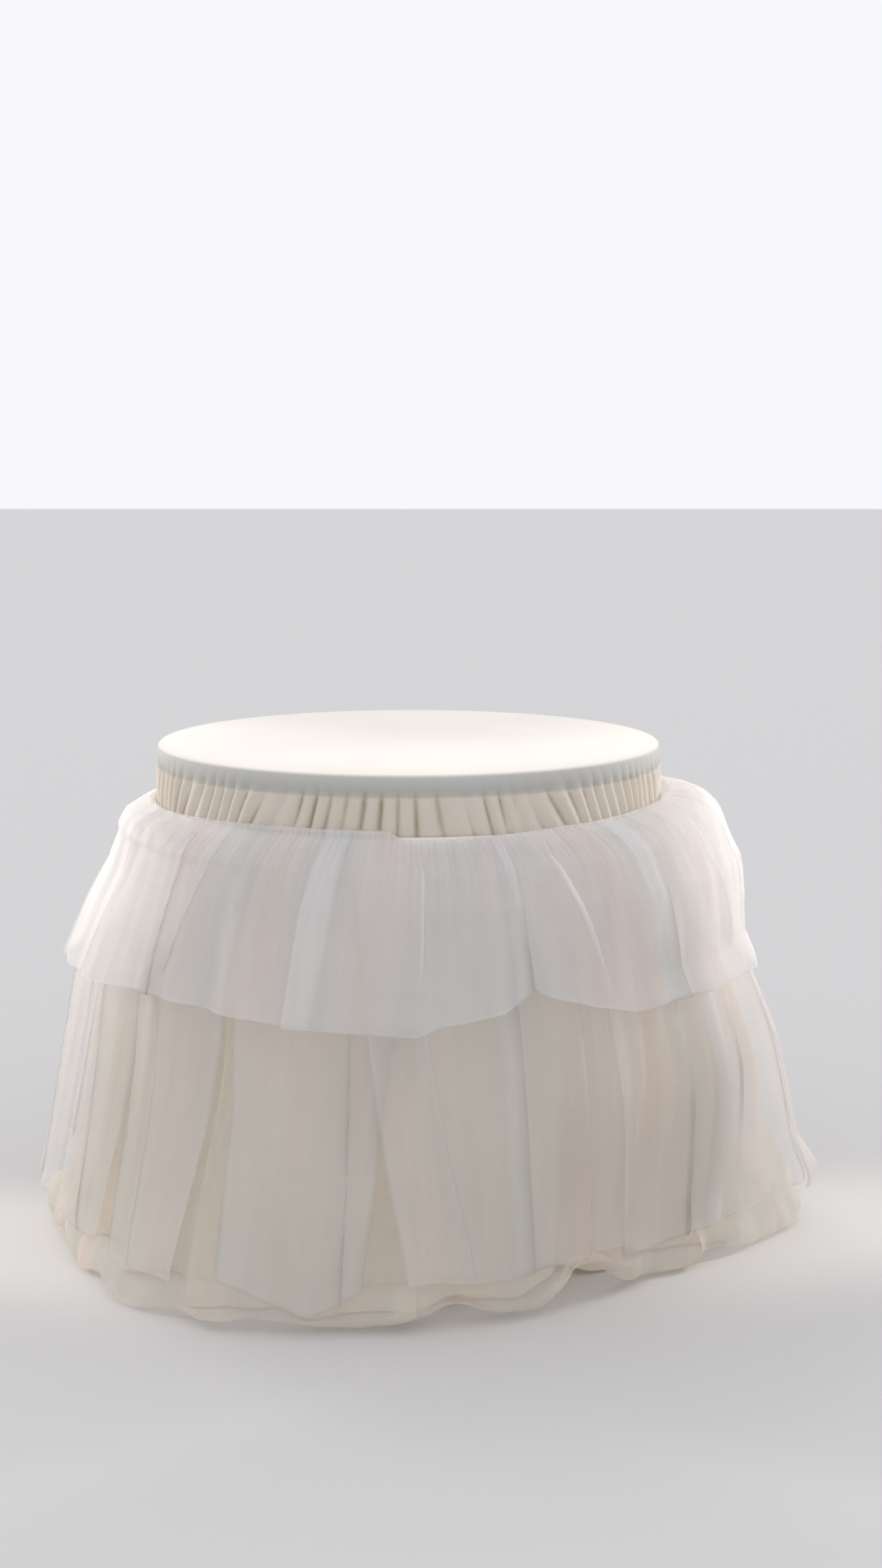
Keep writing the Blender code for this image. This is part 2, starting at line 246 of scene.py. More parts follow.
def diamond_net(tree, holes_per_metre):
    """1 in the middle of a hole and 0 on a thread, for threads that cross at 45 degrees."""
    uv = add_node(tree, "ShaderNodeUVMap", {"uv_map": "flat"})
    size = (holes_per_metre * math.pi, holes_per_metre * math.pi, 1.0)
    turned = add_node(tree, "ShaderNodeMapping", None, Vector=uv.outputs["UV"],
                      Rotation=(0.0, 0.0, math.radians(45.0)), Scale=size)
    wave = add_node(tree, "ShaderNodeVectorMath", {"operation": "SINE"}, _0=turned.outputs["Vector"])
    upright = add_node(tree, "ShaderNodeVectorMath", {"operation": "ABSOLUTE"},
                       _0=wave.outputs["Vector"])
    parts = add_node(tree, "ShaderNodeSeparateXYZ", None, Vector=upright.outputs["Vector"])
    return add_node(tree, "ShaderNodeMath", {"operation": "MINIMUM"},
                    _0=parts.outputs["X"], _1=parts.outputs["Y"]).outputs["Value"]


def total(tree, *values):
    """The sum of some sockets and numbers, kept between 0 and 1."""
    so_far = values[0]
    for value in values[1:]:
        so_far = add_node(tree, "ShaderNodeMath", {"operation": "ADD", "use_clamp": value is values[-1]},
                          _0=so_far, _1=value).outputs["Value"]
    return so_far


def tulle(name, light, dark, cover):
    """cover is the share of the light that one layer stops."""
    made, tree = blank_material(name)
    streaks = add_node(tree, "ShaderNodeTexNoise", None, Vector=flat_coordinates(tree, 34.0, 1.3),
                       Scale=1.0, Detail=2.0, Roughness=0.55)
    clouds = add_node(tree, "ShaderNodeTexNoise", None, Vector=flat_coordinates(tree, 6.0, 4.0),
                      Scale=1.0, Detail=1.0)
    # Painted shade: along the curled edges, the hem and the creases the colour is darkened towards
    # EDGE_GREY, and the net there also stops more light.
    edge = add_node(tree, "ShaderNodeAttribute", {"attribute_name": "edge"})
    shade = add_node(tree, "ShaderNodeMath", {"operation": "MULTIPLY_ADD"},
                     _0=edge.outputs["Fac"], _1=-0.40, _2=clouds.outputs["Fac"])
    # Painted light: where the net is gathered, its colour is painted lighter, against the shade down in
    # the gathers; the gathers also stop more light.
    pinch = add_node(tree, "ShaderNodeAttribute", {"attribute_name": "pinch"})
    shade = add_node(tree, "ShaderNodeMath", {"operation": "MULTIPLY_ADD"},
                     _0=pinch.outputs["Fac"], _1=0.8, _2=shade.outputs["Value"])
    plain = ramp(tree, shade.outputs["Value"],
                 [(0.0, linear(EDGE_GREY)), (0.3, linear(dark)), (0.7, linear(light))])
    # Painted reflected light: slow bands tint the net cooler in some places and warmer in others.
    bands = add_node(tree, "ShaderNodeTexNoise", None, Vector=flat_coordinates(tree, 9.0, 1.1),
                     Scale=1.0, Detail=1.0)
    painted_bounce_tint = ramp(tree, bands.outputs["Fac"],
                [(0.36, linear(PAINTED_COOL_BOUNCE)), (0.5, linear(NEUTRAL)), (0.64, linear(PAINTED_WARM_BOUNCE))])
    colour = add_node(tree, "ShaderNodeMix", {"data_type": "RGBA", "blend_type": "MULTIPLY"},
                      _0=1.0, _6=plain, _7=painted_bounce_tint).outputs[2]
    thread = add_node(tree, "ShaderNodeMapRange", None, Value=diamond_net(tree, 1000 / HOLE_MM),
                      From_Min=0.0, From_Max=0.5, To_Min=0.08, To_Max=-0.04)
    streak = add_node(tree, "ShaderNodeMapRange", None, Value=streaks.outputs["Fac"],
                      From_Min=0.3, From_Max=0.7, To_Min=-0.016, To_Max=0.016)
    rolled = add_node(tree, "ShaderNodeMath", {"operation": "MULTIPLY"},
                      _0=edge.outputs["Fac"], _1=0.12)
    gathered = add_node(tree, "ShaderNodeMath", {"operation": "MULTIPLY"},
                        _0=pinch.outputs["Fac"], _1=0.32)
    stopped = total(tree, thread.outputs["Result"], streak.outputs["Result"],
                    rolled.outputs["Value"], gathered.outputs["Value"], cover)
    bump = add_node(tree, "ShaderNodeBump", None, Height=streaks.outputs["Fac"],
                    Strength=0.12, Distance=0.0006)
    thread_face = add_node(tree, "ShaderNodeBsdfPrincipled", None, Normal=bump.outputs["Normal"],
                           Roughness=0.7, IOR=1.53)
    tree.links.new(colour, thread_face.inputs["Base Color"])
    thread_face.inputs["Sheen Weight"].default_value = 0.25
    thread_face.inputs["Sheen Roughness"].default_value = 0.45
    glow = add_node(tree, "ShaderNodeBsdfTranslucent", None, Color=colour)
    lit = add_node(tree, "ShaderNodeMixShader", None, Fac=0.45,
                   _1=thread_face.outputs["BSDF"], _2=glow.outputs["BSDF"])
    hole = add_node(tree, "ShaderNodeBsdfTransparent")
    mixed = add_node(tree, "ShaderNodeMixShader", None, Fac=stopped,
                     _1=hole.outputs["BSDF"], _2=lit.outputs["Shader"])
    add_node(tree, "ShaderNodeOutputMaterial", None, Surface=mixed.outputs["Shader"])
    return made


TULLE_UPPER = tulle("white tulle, upper tier", "#f8f8fa", "#f0f1f4", 0.45)
TULLE_LOWER = tulle("white tulle, lower tier", "#f3f0ef", "#e8e5e4", 0.40)
TULLE_UNDER = tulle("white tulle, under layer", "#f1ebe2", "#e8e0d5", 0.33)

# %% [markdown]
# ## Helpers for cloth shapes
#
# Hanging cloth is described in its own terms: how far round the table a point is, how far
# down the cloth, and how far a fold pushes it out. Folds are sums of waves of a few lengths.
# Close to a gather the waves are short; further down they run together into longer, deeper
# ones. Each wave wanders a little, so that no two folds match.
#
# Neighbouring strips share their broad waves, because they lie on each other, and each has
# fine ones of its own.

# %% Fold and sheet helpers
ROUND = 0.5                 # metres of cloth for each radian round the table


def smooth(x):
    x = np.clip(x, 0.0, 1.0)
    return x * x * (3 - 2 * x)


def hill(x, middle, width):
    """A smooth bump of height 1."""
    return np.exp(-((x - middle) / width) ** 2)


def waves(across, down, length, seed, wander=0.35):
    """Waves of about unit height and of about this length in metres, which never repeat."""
    rng = np.random.default_rng(seed)
    added = np.zeros(np.broadcast(across, down).shape)
    for share, stretch in ((0.55, 1.0), (0.30, 0.618), (0.25, 1.47)):
        phase = rng.uniform(0, 2 * math.pi)
        drift = rng.uniform(-1, 1) * wander * 2 * math.pi
        slow = rng.uniform(0.6, 1.4)
        bend = 0.8 * np.sin(slow * 2 * math.pi * across / (length * 4.7) + rng.uniform(0, 6))
        turn = 2 * math.pi * across / (length * stretch)
        added = added + share * np.sin(turn + phase + drift * down + bend)
    return added


def sheet_mesh(name, points, flat, surface, pinch=0.0, folded=0.0):
    """A grid of points, rows from the top down, as a mesh with its flat coordinates as UVs.
    pinch says where it is gathered tight and folded where it is creased, from 0 to 1."""
    rows, columns = points.shape[:2]
    index = np.arange(rows * columns).reshape(rows, columns)
    quads = np.stack([index[:-1, :-1], index[1:, :-1], index[1:, 1:], index[:-1, 1:]], -1)
    mesh = bpy.data.meshes.new(name)
    mesh.from_pydata(points.reshape(-1, 3).tolist(), [], quads.reshape(-1, 4).tolist())
    layer = mesh.uv_layers.new(name="flat")
    corners = np.zeros(len(mesh.loops), np.int32)
    mesh.loops.foreach_get("vertex_index", corners)
    layer.data.foreach_set("uv", flat.reshape(-1, 2)[corners].astype(np.float32).ravel())
    # The long edges curl over for a centimetre or so, and the hem hardly at all.
    column, row = np.arange(columns)[None, :], np.arange(rows)[:, None]
    curled = np.exp(-np.minimum(column / 2.0, (columns - 1 - column) / 4.5))
    border = np.maximum(curled, 0.8 * np.exp(-(rows - 1 - row) / 0.6))
    border = np.maximum(border, folded).astype(np.float32)
    tight = np.clip(np.broadcast_to(pinch, (rows, columns)), 0, 1).astype(np.float32)
    for key, values in (("edge", border), ("pinch", tight)):
        mesh.attributes.new(key, "FLOAT", "POINT").data.foreach_set("value", values.ravel())
    mesh.materials.append(surface)
    mesh.shade_smooth()
    made = bpy.data.objects.new(name, mesh)
    bpy.context.scene.collection.objects.link(made)
    return made


def round_points(angle, radius, height):
    """Angle is measured from the front, -Y, towards +X."""
    return np.stack(np.broadcast_arrays(radius * np.sin(angle), -radius * np.cos(angle), height), -1)


def weld_seam(piece):
    """Joins the first and last column of a sheet that goes right round."""
    weld = piece.modifiers.new("weld", "WELD")
    weld.merge_threshold = 0.00002
    bpy.context.view_layer.objects.active = piece
    with bpy.context.temp_override(object=piece, active_object=piece):
        bpy.ops.object.modifier_apply(modifier=weld.name)


# %% [markdown]
# ## How the skirt leans
#
# Nobody's skirt hangs perfectly round. This one has been pulled and blown: it stands well out
# on the right, is pressed in at the front and front right, and spreads at the front left.
# Every layer follows the same lean, so the layers stay apart.

# %% The lean
def lean(angle, height):
    """How far the skirt stands out from the round profile here, in metres."""
    degrees = np.degrees(np.arctan2(np.sin(angle), np.cos(angle)))
    right = np.clip(np.sin(angle), 0, 1) ** 2
    left = np.clip(-np.sin(angle), 0, 1) ** 2
    front = np.clip(np.cos(angle), 0, 1) ** 1.5
    low = smooth((0.36 - height) / 0.36)
    right_out = np.interp(height, [0.0, 0.09, 0.20, 0.30, 0.47, 0.56, 0.65, WAIST + 0.01],
                          [0.026, 0.034, 0.029, 0.024, -0.008, 0.014, 0.028, 0.0])
    front_out = np.interp(height, [0.0, 0.20, 0.43, 0.62, WAIST],
                          [-0.085, -0.055, -0.022, -0.006, 0.0])
    left_out = np.interp(height, [0.0, 0.43, 0.50, 0.58, 0.62, WAIST_LOW],
                         [-0.022, -0.010, -0.024, -0.040, -0.026, 0.0])
    dent = -0.080 * hill(degrees, 52, 26) + 0.072 * hill(degrees, -28, 25)
    return right * right_out + left * left_out + front * front_out + low * dent


def lift(angle, height):
    """Stiff gathers stand up before they fall, most of all at the two sides."""
    right = np.clip(np.sin(angle), 0, 1) ** 3
    left = np.clip(-np.sin(angle), 0, 1) ** 3
    return (0.024 * right + 0.003 * left) * hill(WAIST - height, 0.022, 0.030)


def bunch(angle, height):
    """Net that has caught in a crumpled bunch near the ground on the right, and a little on the left."""
    degrees = np.degrees(np.arctan2(np.sin(angle), np.cos(angle)))
    crumple = waves(angle * ROUND, height * 9, 0.034, 3, 1.0)
    right = hill(degrees, 90, 14) * hill(height, 0.085, 0.038)
    left = hill(degrees, -84, 14) * hill(height, 0.055, 0.040)
    sides = np.abs(np.sin(angle)) ** 6 * hill(height, 0.58, 0.07)
    puffed = waves(angle * ROUND, height * 5, 0.075, 4, 1.4)
    return right * (0.017 + 0.006 * crumple) + left * (0.004 + 0.006 * crumple) + 0.0055 * sides * puffed


# %% [markdown]
# ## The round cloth
#
# A 90 inch round cloth is what is sold to reach the floor over a 30 inch table. It lies flat
# on the top, turns down over the edge, is pinched by the waistband into many small gathers,
# and then falls free in deep folds that are mostly hidden by the tulle. It is one sheet, made
# as rings from the middle outwards.

# %% Make the round cloth
CLOTH_COLUMNS = 1081
EDGE_ROUNDING = 0.005
OVER_EDGE = 0.0016          # from the edging to the face of the cloth
GATHERS = 96                # round the waist
FOLDS_AT_HEM = 17
HEM_GAP = 0.003


def gathers(angle, share):
    """Rounded puffs with sharp valleys between them, fanning out towards the sides."""
    fan = angle - 0.20 * share * np.sin(angle) * np.clip(np.cos(angle), 0, 1)
    uneven = 0.9 * np.sin(5 * angle + 1.0) + 0.7 * np.sin(11 * angle + 2.2) + 0.5 * np.sin(17 * angle)
    puffs = np.abs(np.sin(GATHERS / 2 * fan + uneven)) ** 0.9
    height = 0.72 + 0.28 * np.sin(23 * angle + 0.5) * np.sin(4 * angle)
    return (puffs - 0.65) * height, np.clip(1.0 - 1.15 * puffs, 0, 1) * height


def caught_up(angle):
    """How far the hems are held up off the ground, just right of the front."""
    return 0.026 * hill(np.degrees(angle), 33, 7) + 0.012 * hill(np.degrees(angle), 9, 4)


def round_cloth():
    angle = np.linspace(-math.pi, math.pi, CLOTH_COLUMNS)[None, :]
    outer = TABLE_EDGE + OVER_EDGE
    rows = [(radius, TOP_HEIGHT, 0) for radius in np.linspace(0.0, outer - EDGE_ROUNDING, 7)]
    for turned in np.linspace(0.0, math.pi / 2, 7)[1:]:
        radius = outer - EDGE_ROUNDING + EDGE_ROUNDING * math.sin(turned)
        rows.append((radius, TOP_HEIGHT - EDGE_ROUNDING + EDGE_ROUNDING * math.cos(turned), 0))
    turn_down = rows[-1][1]
    for height in np.linspace(turn_down, WAIST, 22)[1:]:
        share = (turn_down - height) / (turn_down - WAIST)
        free = smooth((TABLE_UNDERSIDE + 0.008 - height) / 0.022)
        depth = 0.0012 + 0.0105 * free * (1.0 - 0.3 * smooth((share - 0.8) / 0.2))
        puff, tight = gathers(angle, share)
        rows.append((outer + 0.0012 * share + depth * puff, height, (0.25 + 0.75 * free) * tight))
    around = angle * TABLE_EDGE
    for share in np.linspace(0.0, 1.0, 58)[1:]:
        height = WAIST - (WAIST - HEM_GAP - caught_up(angle)) * share
        leaning = 0.95 * lean(angle, height) * smooth((WAIST_LOW - height) / 0.05)
        base = np.interp(height, *CLOTH_PROFILE) + leaning
        small = waves(around, np.array(share), 0.040, 11, 0.05) * 0.004 * (1 - share)
        small = small * smooth((share - 0.035) / 0.1)
        puff, tight = gathers(angle, 1.0)
        pinched = 0.0042 * puff * (1 - smooth(share / 0.12))
        turns = angle * FOLDS_AT_HEM
        deep = np.sin(turns + 0.9 * np.sin(3 * angle + 1.0) + 0.6 * np.sin(7 * angle + share))
        deep = deep + 0.35 * np.sin(2 * turns + 2.0 * np.sin(2 * angle))
        grow = smooth(share / 0.75)
        fold = 0.047 - 0.038 * hill(np.degrees(angle), 2, 46)
        radius = base - 0.6 * fold * grow + small + pinched + fold * grow * deep
        rows.append((radius, height, tight * (1 - smooth(share / 0.2))))
    points = np.stack([round_points(angle, radius, height)[0] for radius, height, _ in rows])
    tight = np.stack([np.broadcast_to(row[2], angle.shape)[0] for row in rows])
    # Flat coordinates: a point's distance along the cloth from the middle, and its turn.
    step = np.linalg.norm(np.diff(points, axis=0), axis=2).mean(1)
    reach = np.concatenate([[0.0], np.cumsum(step)])[:, None]
    flat = np.stack([reach * np.sin(angle), -reach * np.cos(angle)], -1)
    made = sheet_mesh("round_cloth", points, flat, CLOTH, tight)
    weld_seam(made)
    return made


cloth = round_cloth()
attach(cloth, "tablecloth")
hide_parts("cloth_top", *[n for n in NODES if n.startswith("cloth_drop")])
print("round cloth:", len(cloth.data.vertices), "points")

# %% [markdown]
# ## The waistband
#
# The skirt's band is a folded casing with elastic inside. Pulled tight it ruches, so its face
# is a run of small soft puckers. Most of it is hidden by the heading of the tulle.

# %% Make the waistband
BAND_COLUMNS = 721


def waistband():
    angle = np.linspace(-math.pi, math.pi, BAND_COLUMNS)[None, :]
    around = angle * BAND_RADIUS
    middle, half = (WAIST + WAIST_LOW) / 2, (WAIST - WAIST_LOW) / 2
    section = [(1.0, 0.0), (0.9, 0.8), (0.0, 1.0), (-0.9, 0.8), (-1.0, 0.0)]
    rows = []
    for level, out in section:
        pucker = 0.0007 * waves(around, np.array(level), 0.009, 5)
        radius = BAND_RADIUS + 0.0002 + 0.0016 * out + pucker * out
        rows.append(round_points(angle, radius, middle + half * level)[0])
    points = np.stack(rows)
    down = np.linspace(0, 2 * half, len(rows))[:, None]
    flat = np.stack(np.broadcast_arrays(around, down), -1)
    made = sheet_mesh("waistband", points, flat, CASING)
    weld_seam(made)
    return made


band = waistband()
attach(band, "tulle_skirt")
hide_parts("waistband_casing", "waistband_elastic")

# %% [markdown]
# ## Tulle panels
#
# One function hangs every panel of the two tiers. It takes the two edges of the panel at the
# waist and at the foot, in degrees round the table, and its hem as a few heights from the
# left edge to the right. The top is gathered tight on the band with a short heading above the
# stitching, and the net springs out below it. "stand" moves a whole panel in or out, so that
# neighbours overlap the way loose strips do.
#
# A crease is where the net folds back over itself. Going across it, the cloth turns back and
# forward again, which makes three thin layers and a crisp edge.

# %% Hang one panel
HEADING = 0.007
COLUMN = 0.0038             # metres between the columns of a panel
SHARED_MEDIUM, SHARED_WIDE, SHARED_NARROW, SHARED_SIDEWAYS = 901, 902, 903, 905     # wave seeds


def waist_line(angle):
    """The stitching dips at the left, and steps down just right of the front."""
    degrees = np.degrees(np.arctan2(np.sin(angle), np.cos(angle)))
    left = 0.003 - 0.008 * smooth((-degrees - 25) / 45)
    right = -0.010 + 0.007 * smooth((degrees - 5) / 30)
    return left + (right - left) * smooth((degrees + 4.0) / 4.0)


def broad_folds(angle, below):
    """The folds that every layer of the skirt shares."""
    place, down = angle * ROUND, below / 0.6
    wide = waves(place, down, 0.19, SHARED_WIDE, 0.3) * 0.0090
    narrow = waves(place, down, 0.085, SHARED_NARROW, 0.5) * 0.0027
    return (wide + narrow) * smooth(below / 0.20)


def crease_shift(across, v, creases):
    """Sideways and outward shifts of the creases, and where they show. Each crease is (top, foot,
    width, start, end): metres across the panel, then shares of the drop for the last two."""
    sideways, outward, marked = np.zeros((3, *np.broadcast(across, v).shape))
    for top, foot, width, start, end in creases:
        strength = smooth((v - start) / 0.12) * smooth((end - v) / 0.12)
        t = (across - top - (foot - top) * v) / width
        sideways = sideways - 2.3 * strength * width * t * np.exp(-t * t / 2)
        outward = outward - 0.0014 * strength * np.tanh(t / 0.6) * np.exp(-(t / 3) ** 2)
        marked = np.maximum(marked, 0.65 * strength * np.exp(-(t / 2.2) ** 2))
    return sideways, outward, marked


def hang_panel(name, surface, layer, edges_top, edges_foot, hem, seed, stand=0.0, rows=80,
               creases=()):
    """Returns the panel, its width at the foot and its drop."""
    heights, radii = layer
    left_top, right_top = np.radians(edges_top)
    left_foot, right_foot = np.radians(edges_foot)
    foot_radius = np.interp(np.mean([z for _, z in hem]), heights, radii)
    width = (right_foot - left_foot) * foot_radius
    columns = max(12, round(width / COLUMN))
    u = np.linspace(0.0, 1.0, columns + 1)[None, :]
    v = np.linspace(0.0, 1.0, rows + 1)[:, None]
    left, right = left_top + (left_foot - left_top) * v, right_top + (right_foot - right_top) * v
    angle = left + (right - left) * u
    hem_height = np.interp(u, *zip(*hem))
    top = WAIST + HEADING + waist_line(angle[:1])
    height = top + (hem_height - top) * v
    below = np.maximum(WAIST - height, 0.0)
    across = (u - 0.5) * width
    shift, fold_out, marked = crease_shift(across, v, creases)
    angle = angle + shift / foot_radius
    place = angle * ROUND
    radius = np.interp(np.minimum(height, WAIST), heights, radii)
    fine_depth = 0.00005 + 0.0009 * np.exp(-((below - 0.010) / 0.028) ** 2)
    fine = waves(across, v, 0.012, seed) * fine_depth
    medium_depth = 0.0002 + 0.0015 * smooth(below / 0.03) * np.exp(-below / 0.07)
    medium = waves(place, v, 0.045, SHARED_MEDIUM, 0.5) * medium_depth
    out = fine + medium + broad_folds(angle, below) + fold_out
    out = out + stand * (0.4 + 0.6 * smooth(below / 0.05))
    out = out + lean(angle, height) + bunch(angle, height)
    # Folds also pull the net sideways, which keeps their crests round.
    sway = 0.004 * waves(place, v, 0.12, SHARED_SIDEWAYS, 0.4) * smooth(below / 0.15)
    angle = angle + sway / foot_radius
    points = round_points(angle, radius + out, height + lift(angle, height))
    drop = float(top.max() - hem_height.mean())
    # The seed also shifts the pattern, so that no two panels show the same streaks.
    flat = np.stack(np.broadcast_arrays(across + seed * 0.37, v * drop), -1)
    tight = (0.22 + 0.16 * waves(across, v, 0.012, seed)) * np.exp(-below / 0.04)
    tight = tight + 0.08 * waves(place, v, 0.040, SHARED_MEDIUM, 0.4) * np.exp(-below / 0.06)
    return sheet_mesh(name, points, flat, surface, tight, marked), width, drop


def dress(piece, node):
    """Puts a panel on the skirt and hides the solid that it stands for."""
    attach(piece, "tulle_skirt")
    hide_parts(node)


def nodes_in_order(prefix):
    """The nodes of one layer, from the back round by the left, the front and the right."""
    def turn(name):
        low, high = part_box(name)
        middle = (low + high) / 2
        return math.atan2(middle.x, -middle.y)
    return sorted((n for n in NODES if n.startswith(prefix)), key=turn)


# %% [markdown]
# ## The under layer
#
# Six long widths hang inside the strips. They are cut longer than the drop, so the spare net
# rolls up softly where it meets the ground: here it swells out and tucks back under, there it
# spreads forward. The roll is drawn once, and its size changes slowly round the table.

# %% Make the under layer
ROLL_TOP = 0.060            # where the net leaves its straight fall
ROLL_CLEAR = 0.004          # the whole roll is lifted this far off the floor
SPARE = 0.10                # metres of net beyond the drop
WIDTHS = 6
UNDER_REACH = 0.53          # metres of net for each radian, near the foot
UNDER_OVERLAP = 0.03        # radians past the next width, on each side
UNDER_STAND = 0.0018        # every other width lies this far in, the rest this far out


def ground_roll(angle, s):
    """(outward, height) of the spare net, for a share s from 0 to 1 along it."""
    swell = 0.026 + 0.007 * np.sin(3 * angle + 0.8) + 0.003 * np.sin(7 * angle + 2.0)
    spread = -0.006 + 0.018 * np.sin(2 * angle - 0.9) + 0.008 * np.sin(5 * angle + 0.4)
    spread = spread + 0.040 * hill(np.degrees(angle), -42, 24)
    out = swell * np.sin(math.pi * s) + spread * s * s
    lifted = 1.7 * caught_up(angle) * smooth((s - 0.2) / 0.4)
    return out, np.maximum(ROLL_TOP * (1 - smooth(s / 0.85)), 0.0) + ROLL_CLEAR + lifted


def under_panel(number, node):
    left = -math.pi + number * 2 * math.pi / WIDTHS - UNDER_OVERLAP
    right = left + 2 * math.pi / WIDTHS + 2 * UNDER_OVERLAP
    width = (right - left) * UNDER_REACH
    rows, roll_rows = 64, 26
    u = np.linspace(0.0, 1.0, round(width / COLUMN) + 1)[None, :]
    angle = left + (right - left) * u
    across = (u - 0.5) * width
    v = np.linspace(0.0, 1.0, rows + 1)[:, None]
    top = WAIST + HEADING * 0.4 + waist_line(angle)
    height = top + (ROLL_TOP + ROLL_CLEAR - top) * v
    below = np.maximum(WAIST - height, 0.0)
    radius = np.interp(np.clip(height, 0.04, WAIST), *UNDER_PROFILE) + lean(angle, height)
    radius = radius + bunch(angle, height) + UNDER_STAND * (-1) ** number
    radius = radius + waves(across, v, 0.012, number + 40) * (0.0001 + 0.0016 * np.exp(-below / 0.05))
    place = angle * ROUND
    radius = radius + waves(place, v, 0.070, 51) * 0.0022 * smooth(below / 0.2)
    radius = radius + broad_folds(angle, below)
    s = np.linspace(0.0, 1.0, roll_rows + 1)[1:, None]
    roll_out, roll_height = ground_roll(angle, s)
    wrinkle = waves(place, s, 0.20, 81, 0.6) * 0.010 * s + waves(place, s, 0.09, 91, 1.2) * 0.0025 * s
    bump_up = (0.5 + 0.5 * waves(place, s, 0.24, 95, 0.7)) * 0.014 * smooth(s / 0.6)
    rolled_out = radius[-1:] + roll_out + wrinkle + 0.6 * bunch(angle, roll_height) * s
    radius = np.concatenate([radius, rolled_out])
    height = np.concatenate([height, roll_height + bump_up])
    points = round_points(angle, radius, height + lift(angle, height))
    down = np.concatenate([v * (WAIST - ROLL_TOP), WAIST - ROLL_TOP + s * SPARE])
    flat = np.stack(np.broadcast_arrays(across + number * 0.83, down), -1)
    # The crumpled roll stops more light, and its colour is painted lighter: painted light.
    crumpled = np.concatenate([0.5 * smooth((v - 0.8) / 0.2), 0.5 + 0.4 * smooth(s)])
    piece = sheet_mesh(f"under_layer_{number + 1:02d}", points, flat, TULLE_UNDER, crumpled)
    dress(piece, node)


for number, node in enumerate(nodes_in_order("under_tulle")):
    under_panel(number, node)
print("under layer:", WIDTHS, "widths of net")

# %% [markdown]
# ## The lower tier
#
# Sixteen strips, each about 0.2 m wide, hang from the band. A strip keeps its width while the
# skirt grows, so neighbours that overlap at the waist part near the hem, which opens narrow
# gaps that show the cream cloth. The hems are cut square, but the strips have twisted, so
# many of the corners hang low.

# %% Make the lower tier
# Each front strip: edges at the waist and at the foot in degrees, its hem as (share across,
# height in metres), and how far it stands out.
FRONT_STRIPS = [
    ((-99, -69), (-94, -70), [(0, 0.092), (0.5, 0.080), (1, 0.074)], 0.003),
    ((-77, -48), (-71, -52), [(0, 0.082), (0.6, 0.060), (1, 0.078)], -0.003),
    ((-53, -28), (-46, -33.5), [(0, 0.070), (1, 0.064)], 0.002),
    ((-30, 1.5), (-26.5, -5.9), [(0, 0.080), (0.63, 0.030), (1, 0.070)], -0.001),
    ((-10.6, 17), (0.2, 20.6), [(0, 0.076), (0.5, 0.070), (1, 0.074)], 0.005),
    ((14, 37), (17, 39.5), [(0, 0.075), (1, 0.080)], -0.003),
    ((34, 58), (38, 60), [(0, 0.072), (0.5, 0.062), (1, 0.080)], 0.003),
    ((55, 84), (56, 82), [(0, 0.070), (1, 0.082)], -0.002),
]
BACK_STRIPS = 8
BACK_START, BACK_END = 94, 255      # degrees from the front, by the right


def back_strips():
    """The other strips, which nobody arranged, from the right round the back to the left."""
    rng = np.random.default_rng(8)
    strips = []
    for i in range(BACK_STRIPS):
        middle = BACK_START + i * (BACK_END - BACK_START) / (BACK_STRIPS - 1) + rng.uniform(-2, 2)
        foot = rng.uniform(9.5, 11.5)
        drop = [(share, LOWER_HEM + rng.uniform(-0.022, 0.012)) for share in (0, 0.5, 1)]
        edges = (middle - 14, middle + 14), (middle - foot, middle + foot)
        strips.append((*edges, drop, 0.004 * (-1) ** i))
    return strips


def lower_tier():
    rng = np.random.default_rng(12)
    strips = FRONT_STRIPS + back_strips()
    strips.sort(key=lambda strip: (sum(strip[1]) / 2 + 180) % 360)
    for i, (strip, node) in enumerate(zip(strips, nodes_in_order("lower_tulle"))):
        top, foot, hem, stand = strip
        start = rng.uniform(-0.05, 0.03)
        creases = [(start, start + rng.uniform(-0.01, 0.05), 0.006, rng.uniform(0.1, 0.3), 1.2)]
        piece, width, drop = hang_panel(f"lower_strip_{i + 1:02d}", TULLE_LOWER, LOWER_PROFILE,
                                        top, foot, hem, 200 + i, stand, creases=creases)
        dress(piece, node)
    print("lower tier:", len(strips), "strips")


lower_tier()

# %% [markdown]
# ## The upper tier
#
# Eight shorter panels make the upper tier. Their hems rise and dip as one wavy line, with
# square corners where one panel stops on top of the next.

